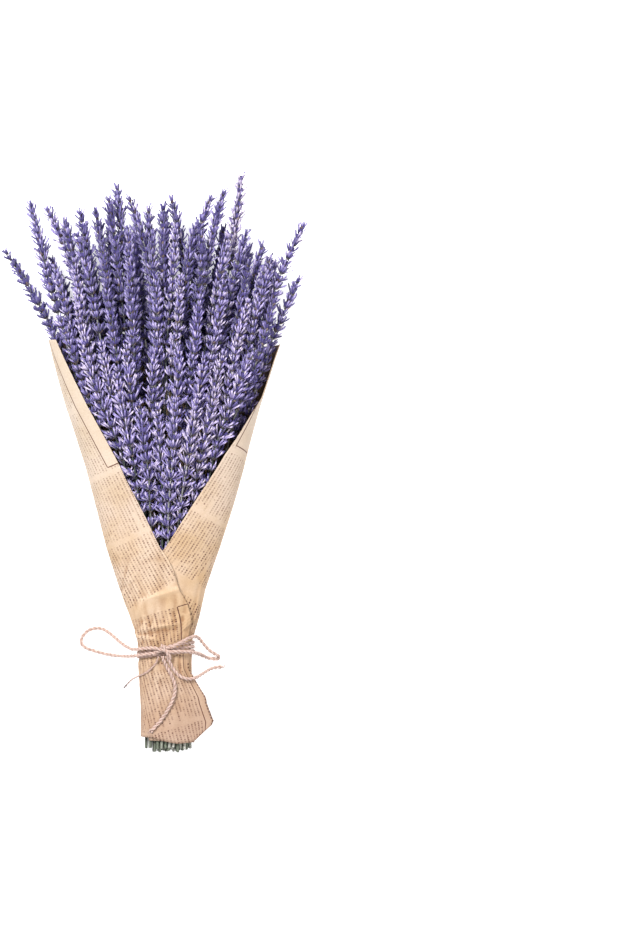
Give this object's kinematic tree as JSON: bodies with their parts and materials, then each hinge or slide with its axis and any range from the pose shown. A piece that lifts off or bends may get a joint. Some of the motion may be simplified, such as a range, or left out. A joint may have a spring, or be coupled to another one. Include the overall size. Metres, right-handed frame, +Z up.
{
  "type": "bunch of dried lavender",
  "caption": "Bunch of dried lavender in a cone of printed kraft paper, tied at the waist with jute twine, lying on its back.",
  "frame": {"origin": "on the surface that the bunch lies on, under the wrap, 200 mm from the cut ends of the stems", "axes": "+Y along the bunch towards the flower tips, +X to the right seen from above, +Z up from the surface"},
  "size_m": [0.2224, 0.4245, 0.0608],
  "materials": {
    "dried_lavender": "matte",
    "kraft_paper": "matte",
    "jute_twine": "matte"
  },
  "bodies": {
    "root": {"lavender_01": "dried_lavender", "lavender_02": "dried_lavender", "lavender_03": "dried_lavender", "lavender_04": "dried_lavender", "lavender_05": "dried_lavender", "lavender_06": "dried_lavender", "lavender_07": "dried_lavender", "lavender_08": "dried_lavender", "lavender_09": "dried_lavender", "lavender_10": "dried_lavender", "lavender_11": "dried_lavender", "lavender_12": "dried_lavender", "lavender_13": "dried_lavender", "lavender_14": "dried_lavender", "lavender_15": "dried_lavender", "lavender_16": "dried_lavender", "lavender_17": "dried_lavender", "lavender_18": "dried_lavender", "lavender_19": "dried_lavender", "lavender_20": "dried_lavender", "lavender_21": "dried_lavender", "lavender_22": "dried_lavender", "lavender_23": "dried_lavender", "lavender_24": "dried_lavender", "lavender_25": "dried_lavender", "lavender_26": "dried_lavender", "lavender_27": "dried_lavender", "lavender_28": "dried_lavender", "lavender_29": "dried_lavender", "lavender_30": "dried_lavender", "lavender_31": "dried_lavender", "lavender_32": "dried_lavender", "lavender_33": "dried_lavender", "lavender_34": "dried_lavender", "lavender_35": "dried_lavender", "lavender_36": "dried_lavender", "lavender_37": "dried_lavender", "lavender_38": "dried_lavender", "lavender_39": "dried_lavender", "lavender_40": "dried_lavender", "lavender_41": "dried_lavender", "lavender_42": "dried_lavender", "lavender_43": "dried_lavender", "lavender_44": "dried_lavender", "lavender_45": "dried_lavender", "lavender_46": "dried_lavender", "lavender_47": "dried_lavender", "lavender_48": "dried_lavender", "lavender_49": "dried_lavender", "lavender_50": "dried_lavender", "lavender_51": "dried_lavender", "lavender_52": "dried_lavender", "paper_wrap": "kraft_paper", "twine_turns": "jute_twine", "twine_knot": "jute_twine", "twine_loop_left": "jute_twine", "twine_loop_right": "jute_twine", "twine_tail_right": "jute_twine", "twine_tail_down": "jute_twine", "twine_strand": "jute_twine"}
  },
  "joints": []
}
